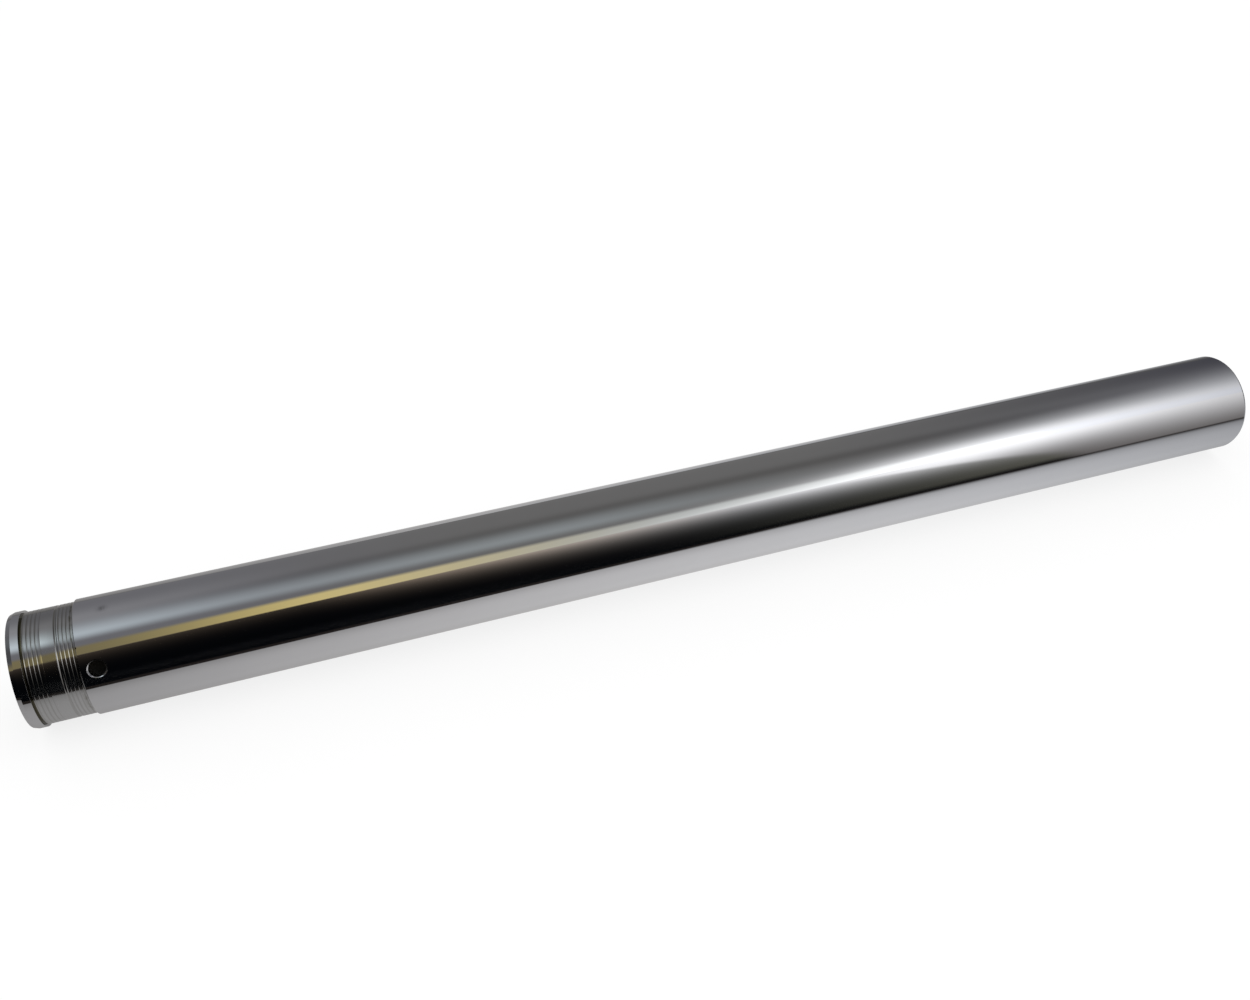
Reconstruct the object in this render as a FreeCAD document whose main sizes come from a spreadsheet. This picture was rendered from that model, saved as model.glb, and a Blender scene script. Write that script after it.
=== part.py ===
import FreeCAD, Part
import os
import Sketcher

# Fork tube: the ground and chromed inner tube of a telescopic fork leg, turned from one steel
# tube. The lower end carries the seat of the sliding bush, the upper end takes the fork cap.
# The tube lies along X with its lower end towards -X, and rests on the plane Z = 0.
# Lengths are in millimetres and angles in degrees.

NODE = "fork_tube"

SIZES = [
    ("outer_diameter", 43.0, "ground and chromed outside, of the body and of the end lip"),
    ("tube_length", 520.0, "end face to end face"),
    ("wall_thickness", 2.75, "of the plain tube, from the outside to the bore"),
    ("lower_chamfer_length", 1.6, "outside lead at the lower end, along the tube"),
    ("lower_chamfer_depth", 0.55, "outside lead at the lower end, across the wall"),
    ("upper_chamfer_length", 0.8, "outside lead at the upper end, along the tube"),
    ("upper_chamfer_depth", 0.4, "outside lead at the upper end, across the wall"),
    ("bore_chamfer", 0.8, "inside bevel at the lower end"),
    ("lip_length", 4.3, "lower end face to the shoulder of the bush seat"),
    ("seat_length", 17.8, "bush seat, from shoulder to shoulder"),
    ("seat_depth", 0.75, "bush seat below the outside"),
    ("shoulder_foot", 0.5, "square foot of the body shoulder, under its 45 degree bevel"),
    ("undercut_width", 0.8, "square groove at the foot of the lip"),
    ("undercut_depth", 0.4, "the same groove, below the seat"),
    ("groove_count", 5, "round grooves in each of the two bands"),
    ("groove_radius", 0.6, "nose radius of the tool that turns them"),
    ("groove_depth", 0.07, "below the seat"),
    ("first_band_margin", 1.2, "lip shoulder to the nearest groove's middle"),
    ("first_band_pitch", 1.4, "from groove to groove, in the band beside the lip"),
    ("second_band_margin", 0.75, "body shoulder to the nearest groove's middle"),
    ("second_band_pitch", 1.3, "from groove to groove, in the band beside the body"),
    ("faint_groove_depth", 0.025, "last groove of the first band, below the seat"),
    ("wide_groove_radius", 0.75, "nose radius for the last groove of the second band"),
    ("wide_groove_depth", 0.2, "the same groove, below the seat"),
    ("cap_thread_relief", 0.21, "crests of the M39 x 1 cap thread, outwards from the bore"),
    ("cap_thread_length", 18.0, "upper end face to the end of the thread"),
    ("cap_thread_chamfer", 0.9, "lead-in bevel of the thread"),
    ("oil_hole_diameter", 6.0, "drilled through one wall"),
    ("oil_hole_sink", 7.0, "countersink diameter at the outside"),
    ("oil_hole_sink_angle", 90.0, "countersink included angle"),
    ("oil_hole_from_seat", 5.7, "body shoulder to the hole's axis"),
    ("oil_hole_tilt", 60.0, "hole's axis, from straight up towards -Y"),
]


def add_sizes(doc):
    """Put every driving size in the sheet, each under its own alias."""
    sheet = doc.addObject("Spreadsheet::Sheet", "Sizes")
    for row, (alias, value, note) in enumerate(SIZES, start=1):
        sheet.set(f"A{row}", alias)
        sheet.set(f"B{row}", str(value))
        sheet.set(f"C{row}", note)
        sheet.setAlias(f"B{row}", alias)
    doc.recompute()
    return sheet


def origin_plane(body, role):
    """The body's own origin plane of that role."""
    return next(item for item in body.Origin.OriginFeatures if item.Role == role)


def section_sketch(body, name):
    """A sketch in the plane through the tube's axis: x along the tube, y outwards."""
    sketch = body.newObject("Sketcher::SketchObject", name)
    sketch.AttachmentSupport = [(origin_plane(body, "XZ_Plane"), "")]
    sketch.MapMode = "FlatFace"
    return sketch


def place_point(sketch, geometry, point, x, y):
    """Hold a point at the two sheet expressions x and y, measured from the sketch's origin."""
    for kind, axis, expression in (("DistanceX", -2, x), ("DistanceY", -1, y)):
        if expression == "0":
            sketch.addConstraint(Sketcher.Constraint("PointOnObject", geometry, point, axis))
            continue
        size = sketch.evalExpression(expression)
        number = sketch.addConstraint(Sketcher.Constraint(kind, -1, 1, geometry, point, size))
        sketch.setExpression(f"Constraints[{number}]", expression)


def add_outline(sketch, corners):
    """Close a polygon through corners, each a pair of sheet expressions."""
    values = [[sketch.evalExpression(size) for size in corner] for corner in corners]
    points = [FreeCAD.Vector(x, y, 0) for x, y in values]
    count = len(points)
    for start in range(count):
        sketch.addGeometry(Part.LineSegment(points[start], points[(start + 1) % count]))
    for start in range(count):
        following = (start + 1) % count
        sketch.addConstraint(Sketcher.Constraint("Coincident", start, 2, following, 1))
    for start, (x, y) in enumerate(corners):
        place_point(sketch, start, 1, x, y)


def turn(body, kind, name, sketch):
    """Revolve a section about the tube's axis, as a Revolution that adds or a Groove that cuts."""
    feature = body.newObject(f"PartDesign::{kind}", name)
    feature.Profile = sketch
    feature.ReferenceAxis = (sketch, ["H_Axis"])
    feature.Angle = 360
    sketch.Visibility = False
    return feature


def make_blank(body):
    """The tube with its plain bore, its outside leads and the bevel inside the lower end."""
    outside = "Sizes.outer_diameter / 2"
    bore = f"{outside} - Sizes.wall_thickness"
    end = "Sizes.tube_length"
    sketch = section_sketch(body, "blank_section")
    add_outline(sketch, [
        ("0", f"{bore} + Sizes.bore_chamfer"),
        ("Sizes.bore_chamfer", bore),
        (end, bore),
        (end, f"{outside} - Sizes.upper_chamfer_depth"),
        (f"{end} - Sizes.upper_chamfer_length", outside),
        ("Sizes.lower_chamfer_length", outside),
        ("0", f"{outside} - Sizes.lower_chamfer_depth"),
    ])
    return turn(body, "Revolution", "tube_blank", sketch)


def make_bush_seat(body):
    """The recess that holds the sliding bush, with the bevelled edge where the body begins."""
    outside = "Sizes.outer_diameter / 2"
    floor = f"{outside} - Sizes.seat_depth"
    start = "Sizes.lip_length"
    end = "Sizes.lip_length + Sizes.seat_length"
    bevel_end = f"{end} + Sizes.seat_depth - Sizes.shoulder_foot"
    sketch = section_sketch(body, "seat_section")
    add_outline(sketch, [
        (start, floor),
        (end, floor),
        (end, f"{floor} + Sizes.shoulder_foot"),
        (bevel_end, outside),
        (bevel_end, f"{outside} + Sizes.seat_depth"),
        (start, f"{outside} + Sizes.seat_depth"),
    ])
    return turn(body, "Groove", "bush_seat", sketch)


def make_undercut(body):
    """The square groove at the foot of the lip, so the bush can sit against the shoulder."""
    floor = "Sizes.outer_diameter / 2 - Sizes.seat_depth"
    start = "Sizes.lip_length"
    end = "Sizes.lip_length + Sizes.undercut_width"
    sketch = section_sketch(body, "undercut_section")
    add_outline(sketch, [
        (start, f"{floor} - Sizes.undercut_depth"),
        (end, f"{floor} - Sizes.undercut_depth"),
        (end, f"{floor} + Sizes.undercut_depth"),
        (start, f"{floor} + Sizes.undercut_depth"),
    ])
    return turn(body, "Groove", "lip_undercut", sketch)


def make_round_groove(body, name, middle, depth, nose):
    """One round groove turned into the seat with a tool of that nose radius."""
    sketch = section_sketch(body, f"{name}_section")
    centre = f"Sizes.outer_diameter / 2 - Sizes.seat_depth - {depth} + {nose}"
    place = FreeCAD.Vector(sketch.evalExpression(middle), sketch.evalExpression(centre), 0)
    radius = sketch.evalExpression(nose)
    circle = sketch.addGeometry(Part.Circle(place, FreeCAD.Vector(0, 0, 1), radius))
    place_point(sketch, circle, 3, middle, centre)
    number = sketch.addConstraint(Sketcher.Constraint("Radius", circle, radius))
    sketch.setExpression(f"Constraints[{number}]", nose)
    return turn(body, "Groove", name, sketch)


def make_band(body, name, nearest, sign, last_depth, last_nose):
    """A band of round grooves that leads away from its shoulder, along sign.

    One turned groove is repeated along the tube, and the last one has a depth and a nose of its own.
    """
    groove = make_round_groove(body, f"{name}_groove", nearest, "Sizes.groove_depth", "Sizes.groove_radius")
    body.Document.recompute()
    pattern = body.newObject("PartDesign::LinearPattern", name)
    pattern.Originals = [groove]
    pattern.Direction = (groove.Profile[0], ["H_Axis"])
    pattern.Reversed = sign == "-"
    pattern.setExpression("Occurrences", "Sizes.groove_count - 1")
    pattern.setExpression("Length", f"Sizes.{name}_pitch * (Sizes.groove_count - 2)")
    body.Tip = pattern
    last = f"{nearest} {sign} Sizes.{name}_pitch * (Sizes.groove_count - 1)"
    return make_round_groove(body, f"{name}_last_groove", last, last_depth, last_nose)


def make_cap_thread(body):
    """The bore of the cap thread at its crests, with its lead-in bevel at the upper end."""
    bore = "Sizes.outer_diameter / 2 - Sizes.wall_thickness"
    crest = f"{bore} + Sizes.cap_thread_relief"
    inside = f"{bore} - Sizes.cap_thread_chamfer"
    end = "Sizes.tube_length"
    sketch = section_sketch(body, "cap_thread_section")
    add_outline(sketch, [
        (f"{end} - Sizes.cap_thread_length", inside),
        (end, inside),
        (end, f"{crest} + Sizes.cap_thread_chamfer"),
        (f"{end} - Sizes.cap_thread_chamfer", crest),
        (f"{end} - Sizes.cap_thread_length", crest),
    ])
    return turn(body, "Groove", "cap_thread_bore", sketch)


def make_oil_hole(body):
    """The oil hole above the seat: drilled and countersunk square to the outside."""
    body.Document.recompute()
    sketch = body.newObject("Sketcher::SketchObject", "oil_hole_centre")
    sketch.AttachmentSupport = [(origin_plane(body, "XY_Plane"), "")]
    sketch.MapMode = "FlatFace"
    tilt = "Sizes.oil_hole_tilt * 1 deg"
    across = FreeCAD.Rotation(FreeCAD.Vector(1, 0, 0), sketch.evalExpression("Sizes.oil_hole_tilt"))
    sketch.AttachmentOffset = FreeCAD.Placement(FreeCAD.Vector(), across)
    sketch.setExpression("AttachmentOffset.Rotation.Angle", tilt)
    sketch.setExpression("AttachmentOffset.Base.y", f"-Sizes.outer_diameter / 2 * sin({tilt})")
    sketch.setExpression("AttachmentOffset.Base.z", f"Sizes.outer_diameter / 2 * cos({tilt})")
    along = "Sizes.lip_length + Sizes.seat_length + Sizes.oil_hole_from_seat"
    radius = sketch.evalExpression("Sizes.oil_hole_diameter / 2")
    centre = FreeCAD.Vector(sketch.evalExpression(along), 0, 0)
    circle = sketch.addGeometry(Part.Circle(centre, FreeCAD.Vector(0, 0, 1), radius))
    place_point(sketch, circle, 3, along, "0")
    number = sketch.addConstraint(Sketcher.Constraint("Diameter", circle, 2 * radius))
    sketch.setExpression(f"Constraints[{number}]", "Sizes.oil_hole_diameter")
    body.Document.recompute()
    hole = body.newObject("PartDesign::Hole", "oil_hole")
    hole.Profile = sketch
    body.Document.recompute()
    hole.DepthType = "Dimension"
    hole.DrillPoint = "Flat"
    hole.HoleCutType = "Countersink"
    hole.HoleCutCustomValues = True
    hole.setExpression("Diameter", "Sizes.oil_hole_diameter")
    hole.setExpression("Depth", "Sizes.outer_diameter / 2")
    hole.setExpression("HoleCutDiameter", "Sizes.oil_hole_sink")
    hole.setExpression("HoleCutCountersinkAngle", "Sizes.oil_hole_sink_angle")
    sketch.Visibility = False
    return hole


def make_fork_tube(doc):
    """The whole tube, in the order in which it is machined."""
    body = doc.addObject("PartDesign::Body", NODE)
    body.Label = NODE
    seat_start = "Sizes.lip_length"
    seat_end = "Sizes.lip_length + Sizes.seat_length"
    make_blank(body)
    make_bush_seat(body)
    make_undercut(body)
    make_band(body, "first_band", f"{seat_start} + Sizes.first_band_margin", "+",
              "Sizes.faint_groove_depth", "Sizes.groove_radius")
    make_band(body, "second_band", f"{seat_end} - Sizes.second_band_margin", "-",
              "Sizes.wide_groove_depth", "Sizes.wide_groove_radius")
    make_cap_thread(body)
    make_oil_hole(body)
    body.setExpression("Placement.Base.x", "-Sizes.tube_length / 2")
    body.setExpression("Placement.Base.z", "Sizes.outer_diameter / 2")
    return body


def check_model(doc, body):
    """Stop unless every step is sound and every cut takes metal away."""
    for item in doc.Objects:
        if "Invalid" in item.State or "Error" in item.State:
            raise RuntimeError(f"{item.Name} failed: {item.State}")
    for step in body.Group:
        base = getattr(step, "BaseFeature", None)
        if base is not None and step.Shape.Volume >= base.Shape.Volume:
            raise RuntimeError(f"{step.Name} cuts nothing")
    if body.Shape.isNull() or not body.Shape.isValid() or len(body.Shape.Solids) != 1:
        raise RuntimeError(f"{body.Label} is not one sound solid")


def main():
    """Build the tube, test it and write its file."""
    doc = FreeCAD.newDocument("ForkTube")
    add_sizes(doc)
    body = make_fork_tube(doc)
    doc.recompute()
    check_model(doc, body)
    os.makedirs("parts", exist_ok=True)
    body.Shape.exportStep(f"parts/{body.Label}.step")
    box = body.Shape.optimalBoundingBox(False)
    print(f"{body.Label}: {box.XLength:.2f} x {box.YLength:.2f} x {box.ZLength:.2f} mm,"
          f" lowest Z {box.ZMin:.3f}, volume {body.Shape.Volume:.0f} mm3")


main()
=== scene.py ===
import math
import bpy
import numpy as np
from bpy.props import FloatProperty, FloatVectorProperty, IntProperty, PointerProperty
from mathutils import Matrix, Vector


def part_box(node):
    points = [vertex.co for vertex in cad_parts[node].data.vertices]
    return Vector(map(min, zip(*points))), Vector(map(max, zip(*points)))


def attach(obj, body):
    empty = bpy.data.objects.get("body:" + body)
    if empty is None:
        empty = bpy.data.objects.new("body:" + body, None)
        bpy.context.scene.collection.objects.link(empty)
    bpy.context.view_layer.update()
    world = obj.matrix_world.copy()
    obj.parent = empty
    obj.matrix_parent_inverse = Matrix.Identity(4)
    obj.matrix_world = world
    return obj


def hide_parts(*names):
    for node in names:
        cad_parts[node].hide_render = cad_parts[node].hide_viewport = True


# Fork tube: a hard-chromed inner tube with a grooved bush seat and an oil hole at its lower end
# and a cap thread inside its upper end. It lies along X on a pale sheet, lower end towards -X.

bl_info = {
    "name": "Fork Tube",
    "version": (1, 0, 0),
    "blender": (4, 5, 0),
    "location": "View3D > Sidebar > Fork Tube",
    "description": "Builds a chromed fork tube and the plain studio that it is shown in",
    "category": "Add Mesh",
}

NODE = "fork_tube"
MM = 0.001

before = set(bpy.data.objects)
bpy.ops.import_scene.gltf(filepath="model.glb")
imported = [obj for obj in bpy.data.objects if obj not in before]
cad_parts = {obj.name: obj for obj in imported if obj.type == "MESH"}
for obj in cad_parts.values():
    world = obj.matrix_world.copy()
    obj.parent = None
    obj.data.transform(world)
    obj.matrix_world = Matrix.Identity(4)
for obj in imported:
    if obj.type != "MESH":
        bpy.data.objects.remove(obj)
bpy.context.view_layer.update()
TUBE_LOW, TUBE_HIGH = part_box(NODE)

# Material slots of the tube, in the order in which the mesh carries them.
CHROME, SEAT, BORE, CUT = range(4)


def length(name, description, millimetres):
    """A length of the tube, written in millimetres and kept in metres."""
    return FloatProperty(name=name, description=description, default=millimetres * MM,
                         min=0.0, precision=5, subtype="DISTANCE", unit="LENGTH")


def angle(name, description, degrees):
    """An angle, written in degrees and kept in radians."""
    return FloatProperty(name=name, description=description, default=math.radians(degrees),
                         subtype="ANGLE", unit="ROTATION")


def share(name, description, value):
    """A plain number from 0 to 1."""
    return FloatProperty(name=name, description=description, default=value, min=0.0, max=1.0,
                         subtype="FACTOR")


def colour(name, description, value):
    """A colour in linear light."""
    return FloatVectorProperty(name=name, description=description, default=value, size=3,
                               min=0.0, max=1.0, subtype="COLOR")


class TubeSizes(bpy.types.PropertyGroup):
    """Sizes of the fork tube. Places along the tube are from the lower end face."""

    tube_length: length("Length", "End face to end face", (TUBE_HIGH.x - TUBE_LOW.x) / MM)
    outside: length("Outside", "Diameter of the body and the lip", (TUBE_HIGH.z - TUBE_LOW.z) / MM)
    wall: length("Wall", "From the outside to the plain bore", 2.75)
    lower_lead: length("Lower lead", "Outside chamfer at the lower end, along the tube", 1.6)
    lower_lead_depth: length("Lower lead depth", "The same chamfer, across the wall", 0.55)
    upper_lead: length("Upper lead", "Outside chamfer at the upper end, along the tube", 0.8)
    upper_lead_depth: length("Upper lead depth", "The same chamfer, across the wall", 0.4)
    bore_chamfer: length("Bore chamfer", "Inside bevel at the lower end", 0.8)
    lip: length("Lip", "Lower end face to the shoulder of the bush seat", 4.3)
    seat: length("Bush seat", "From shoulder to shoulder", 17.8)
    seat_depth: length("Seat depth", "Bush seat below the outside", 0.75)
    shoulder_foot: length("Shoulder foot", "Square foot of the body shoulder, under its bevel", 0.5)
    undercut: length("Undercut", "Width of the square groove at the foot of the lip", 0.8)
    undercut_depth: length("Undercut depth", "The same groove, below the seat", 0.4)
    groove_count: IntProperty(name="Grooves", description="Round grooves in each band",
                              default=5, min=1)
    groove_nose: length("Groove nose", "Radius of the tool that turns the grooves", 0.6)
    groove_depth: length("Groove depth", "Below the seat", 0.07)
    first_margin: length("First band margin", "Lip shoulder to the nearest groove", 1.2)
    first_pitch: length("First band pitch", "From groove to groove, beside the lip", 1.4)
    faint_depth: length("Faint groove depth", "Last groove of the first band", 0.025)
    second_margin: length("Second band margin", "Body shoulder to the nearest groove", 0.75)
    second_pitch: length("Second band pitch", "From groove to groove, beside the body", 1.3)
    wide_nose: length("Wide groove nose", "Tool radius of the last groove of the second band", 0.75)
    wide_depth: length("Wide groove depth", "The same groove, below the seat", 0.2)
    thread_length: length("Thread length", "Upper end face to the end of the cap thread", 18.0)
    thread_relief: length("Thread relief", "Crests of the cap thread, outwards from the bore", 0.21)
    thread_depth: length("Thread depth", "Crest to root of the cap thread", 0.54)
    thread_pitch: length("Thread pitch", "Crest to crest of the cap thread", 1.0)
    thread_chamfer: length("Thread chamfer", "Lead-in bevel of the cap thread", 0.9)
    hole: length("Oil hole", "Diameter of the oil hole", 6.0)
    hole_sink: length("Countersink", "Diameter of its countersink at the outside", 7.0)
    hole_from_seat: length("Hole from seat", "Body shoulder to the hole's axis", 5.7)
    hole_tilt: angle("Hole tilt", "Hole's axis, from straight up towards -Y", 60.0)
    edge: length("Edge rounding", "Twice the radius that polishing leaves on the edges", 0.1)


class TubeFinish(bpy.types.PropertyGroup):
    """Colours and roughness of the tube's four finishes."""

    chrome_colour: colour("Chrome", "Hard chrome of the body and the lip", (0.58, 0.585, 0.6))
    chrome_roughness: share("Chrome roughness", "Ground and polished chrome", 0.055)
    seat_colour: colour("Bush seat", "Turned and chromed seat", (0.49, 0.495, 0.50))
    seat_roughness: share("Seat roughness", "Turned seat, a little duller than the body", 0.085)
    # Also the colour of the painted shade in the undercut.
    seat_stain_and_shade: colour("Seat stain", "Oil and dirt in its grooves and corners", (0.09, 0.082, 0.05))
    # The bore's honed steel is painted dark for the shade inside the tube.
    bore_shaded_colour: colour("Bore", "Honed steel inside", (0.13, 0.127, 0.122))
    bore_roughness: share("Bore roughness", "Honed steel", 0.3)
    cut_colour: colour("Cut faces", "End faces, bevels, thread and oil hole", (0.5, 0.495, 0.49))
    cut_roughness: share("Cut roughness", "Turned and drilled steel", 0.22)


class StageSettings(bpy.types.PropertyGroup):
    """The camera, the floor and the light round the tube."""

    camera_place: FloatVectorProperty(
        name="Camera", description="Where the camera stands", size=3, precision=5,
        default=(-0.14881, -0.34792, 0.34928), subtype="TRANSLATION", unit="LENGTH")
    camera_pitch: angle("Pitch", "How far the camera looks down", 40.074)
    camera_heading: angle("Heading", "Where it looks, from +Y towards +X", 18.827)
    camera_lens: FloatProperty(name="Lens", description="Focal length on a 36 mm sensor, in mm",
                               default=34.644, min=1.0)
    floor_half: length("Floor", "Half the width of the floor", 3000.0)
    sheet_front: length("Sheet front", "How far in front of the tube the pale sheet ends", 90.5)
    sheet_gap: length("Gap", "Dark gap in front of the sheet", 29.6)
    pool_place: length("Pool place", "Middle of the light on the sheet, along the tube", 20.3)
    pool_width: length("Pool of light", "Where the light on the sheet has fallen to a third", 300.9)
    lamp_power: FloatProperty(name="Lamp", description="Soft lamp over the tube", default=2.0,
                              min=0.0, subtype="POWER", unit="POWER")
    shadow_share: share("Shadow", "Part of the floor's white that the tube can shade", 0.22)


def run_directions(corners):
    """Unit directions of the runs into and out of each corner of a closed path."""
    inward = corners - np.roll(corners, 1, axis=0)
    onward = np.roll(corners, -1, axis=0) - corners
    return tuple(run / np.linalg.norm(run, axis=1, keepdims=True) for run in (inward, onward))


def rounded_corners(corners, radius, steps):
    """Arcs that round the corners of a closed path, as points and outward normals.

    With both runs' directions at an angle of turn to each other, the arc starts radius times the
    tangent of turn / 2 before the corner. Its normal starts square to the run into the corner, on
    the left, and turns evenly through turn; each point is the start plus or minus radius times
    the change of the normal, plus where the path turns left.
    """
    inward, onward = run_directions(corners)
    crossed = inward[:, 0] * onward[:, 1] - inward[:, 1] * onward[:, 0]
    turn = np.arctan2(crossed, (inward * onward).sum(1))
    start = corners - inward * (radius * np.tan(np.abs(turn) / 2))[:, None]
    first_heading = np.arctan2(inward[:, 1], inward[:, 0])
    heading = first_heading[:, None] + turn[:, None] * np.linspace(0, 1, steps + 1)
    normals = np.stack([-np.sin(heading), np.cos(heading)], -1)
    side = np.sign(turn)[:, None, None] * radius
    points = start[:, None] + side * (normals[:, :1] - normals)
    return points, normals


def wall_section(corners, zones, stations, radius, steps=3):
    """The closed path round the wall: rounded corners with straight runs between them.

    stations holds, for each run, the places along the tube where it has more points; each lies
    on the straight line between the run's two corners. Returns points, outward normals and the
    finish of the stretch that starts at each point.
    """
    arcs, arc_normals = rounded_corners(corners, radius, steps)
    points, normals, finish = [], [], []
    for number, places in enumerate(stations):
        first, last = corners[number], corners[(number + 1) % len(corners)]
        along = np.asarray(places, float)
        part = (along - first[0]) / (last[0] - first[0] + 1e-12)
        run = np.stack([along, first[1] + part * (last[1] - first[1])], -1)
        points += [arcs[number], run]
        normals += [arc_normals[number], np.repeat(arc_normals[number, -1:], len(along), axis=0)]
        finish += [np.full(steps + 1 + len(along), zones[number])]
    return np.concatenate(points), np.concatenate(normals), np.concatenate(finish)


def groove_places(t):
    """Middles, nose radii and depths of all grooves in the seat.

    Two bands lead away from the two shoulders. The last groove of the first is faint, the last
    groove of the second is wide.
    """
    steps = np.arange(t.groove_count)
    first = t.lip + t.first_margin + steps * t.first_pitch
    second = t.lip + t.seat - t.second_margin - steps * t.second_pitch
    middles = np.concatenate([first, second])
    noses = np.full(len(middles), t.groove_nose)
    depths = np.full(len(middles), t.groove_depth)
    depths[len(first) - 1] = t.faint_depth
    noses[-1], depths[-1] = t.wide_nose, t.wide_depth
    return middles, noses, depths


# Points from a groove's middle outwards, as shares of its half-width; how softly its edges are
# rounded; and the least height of its circle, as a share of the nose radius.
HALF_GROOVE = np.array([0.3, 0.6, 0.9, 1.0, 1.08, 1.25])
GROOVE_POINTS = np.concatenate([-HALF_GROOVE[::-1], [0.0], HALF_GROOVE])
GROOVE_SOFTNESS = 0.01 * MM
LEAST_HEIGHT = 0.2


def groove_stations(t):
    """Places along the seat where its section needs points: close together in every groove."""
    middles, noses, depths = groove_places(t)
    half = np.sqrt(noses ** 2 - (noses - depths) ** 2)
    places = middles[:, None] + half[:, None] * GROOVE_POINTS
    return np.unique(np.clip(places, t.lip + t.undercut + t.edge, t.lip + t.seat - t.edge))


def groove_cut(t, along):
    """How deep the seat is cut at each place along the tube, and the slope of that cut.

    A groove is the part of a circle of the nose radius that lies below the seat; burr-free
    edges come from a soft maximum, soft * log(1 + exp(cut / soft)), summed over the grooves.
    """
    middles, noses, depths = groove_places(t)
    away = along[:, None] - middles
    inside = np.sqrt(np.maximum(noses ** 2 - away ** 2, (LEAST_HEIGHT * noses) ** 2))
    cut = inside - (noses - depths) - np.maximum(np.abs(away) - noses, 0)
    gain = 1 / (1 + np.exp(-np.clip(cut / GROOVE_SOFTNESS, -60, 60)))
    depth = GROOVE_SOFTNESS * np.logaddexp(0, cut / GROOVE_SOFTNESS)
    return depth.sum(1), (gain * -away / inside).sum(1)


def spread(first, last, step):
    """Evenly spaced places strictly between two ends, no further apart than step."""
    count = max(1, math.ceil(abs(last - first) / step))
    return np.linspace(first, last, count + 1)[1:-1]


# Columns round the tube, and the longest cell on the plain walls.
DIVISIONS = 192
LONG_STEP = 20 * MM

# The square window that the oil hole takes the place of: cells across it, half its width, and the
# rings between its edge and the hole, as shares of the way: inwards outside, outwards in the bore.
WINDOW = 12
WINDOW_HALF = 4.2 * MM
OUTER_RINGS = (0.3, 0.6, 0.85)
INNER_RINGS = (0.35, 0.7)


def hole_place(t):
    """Place of the oil hole along the tube."""
    return t.lip + t.seat + t.hole_from_seat


def section_of(t):
    """The wall's section: points (along, radius), normals and finishes, lower end face first."""
    outside = t.outside / 2
    bore = outside - t.wall
    seat = outside - t.seat_depth
    seat_end = t.lip + t.seat
    bevel_end = seat_end + t.seat_depth - t.shoulder_foot
    crest = bore + t.thread_relief
    thread_end = t.tube_length - t.thread_length
    undercut_end = t.lip + t.undercut
    middle = hole_place(t)
    window = middle + np.linspace(-WINDOW_HALF, WINDOW_HALF, WINDOW + 1)
    body = np.concatenate([window, spread(window[-1], t.tube_length - t.upper_lead, LONG_STEP)])
    inner = np.concatenate([spread(thread_end, window[-1], LONG_STEP), window[::-1],
                            spread(window[0], t.bore_chamfer, LONG_STEP / 4)])
    fine = t.thread_pitch / 8
    runs = [
        ((0, bore + t.bore_chamfer), CUT, ()),
        ((0, outside - t.lower_lead_depth), CHROME, ()),
        ((t.lower_lead, outside), CHROME, ()),
        ((t.lip, outside), SEAT, ()),
        ((t.lip, seat - t.undercut_depth), SEAT, ()),
        ((undercut_end, seat - t.undercut_depth), SEAT, ()),
        ((undercut_end, seat), SEAT, groove_stations(t)),
        ((seat_end, seat), SEAT, ()),
        ((seat_end, seat + t.shoulder_foot), SEAT, ()),
        ((bevel_end, outside), CHROME, body),
        ((t.tube_length - t.upper_lead, outside), CHROME, ()),
        ((t.tube_length, outside - t.upper_lead_depth), CUT, ()),
        ((t.tube_length, crest + t.thread_chamfer), CUT,
         spread(t.tube_length, t.tube_length - t.thread_chamfer, fine)),
        ((t.tube_length - t.thread_chamfer, crest), CUT,
         spread(t.tube_length - t.thread_chamfer, thread_end, fine)),
        ((thread_end, crest), CUT, ()),
        ((thread_end, bore), BORE, inner),
        ((t.bore_chamfer, bore), CUT, ()),
    ]
    corners, zones, stations = zip(*runs)
    points, normals, finish = wall_section(np.array(corners, float), zones, stations, t.edge / 2)
    floor = np.abs(points[:, 1] - seat) < 1e-9
    depth, slope = groove_cut(t, points[floor, 0])
    points[floor, 1] -= depth
    normals[floor] = np.stack([slope, np.ones_like(slope)], -1) / np.hypot(slope, 1)[:, None]
    return points, normals, finish


def smooth(x):
    """0 below 0 and 1 above 1, with a soft start and end."""
    x = np.clip(x, 0, 1)
    return x * x * (3 - 2 * x)


def cut_thread(t, along, radius, normals, turned):
    """Cut the cap thread into the grid's points that lie in its reach.

    The thread's radius is crest + depth / 2 * (1 - cos(2 pi (along / pitch - angle / 2 pi))), a
    right-hand helix with rounded flanks at 60 degrees to the axis. Its depth grows from nothing
    over two pitches, from 0.4 of a pitch past the deep end. It shows wherever it lies deeper than
    the turned bore or its bevel.
    """
    crest = t.outside / 2 - t.wall + t.thread_relief
    start = t.tube_length - t.thread_length
    depth = t.thread_depth / 2 * smooth((along - start) / (2 * t.thread_pitch) - 0.2)
    phase = 2 * math.pi * along / t.thread_pitch - turned
    thread = crest + depth * (1 - np.cos(phase))
    inner = (radius < t.outside / 2 - t.upper_lead_depth - t.edge) & (along > start + t.edge)
    deeper = inner & (thread >= radius)
    rise = depth * np.sin(phase)
    lean = rise * 2 * math.pi / t.thread_pitch
    thread_normals = np.stack([lean, -np.ones_like(rise), rise / radius], -1)
    thread_normals /= np.linalg.norm(thread_normals, axis=-1, keepdims=True)
    return np.where(deeper, thread, radius), np.where(deeper[..., None], thread_normals, normals)


def round_the_axis(t, along, radius, turned):
    """Points at those places along the tube, distances from its axis and angles round it."""
    return np.stack([along - t.tube_length / 2, radius * np.cos(turned),
                     t.outside / 2 + radius * np.sin(turned)], -1)


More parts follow.
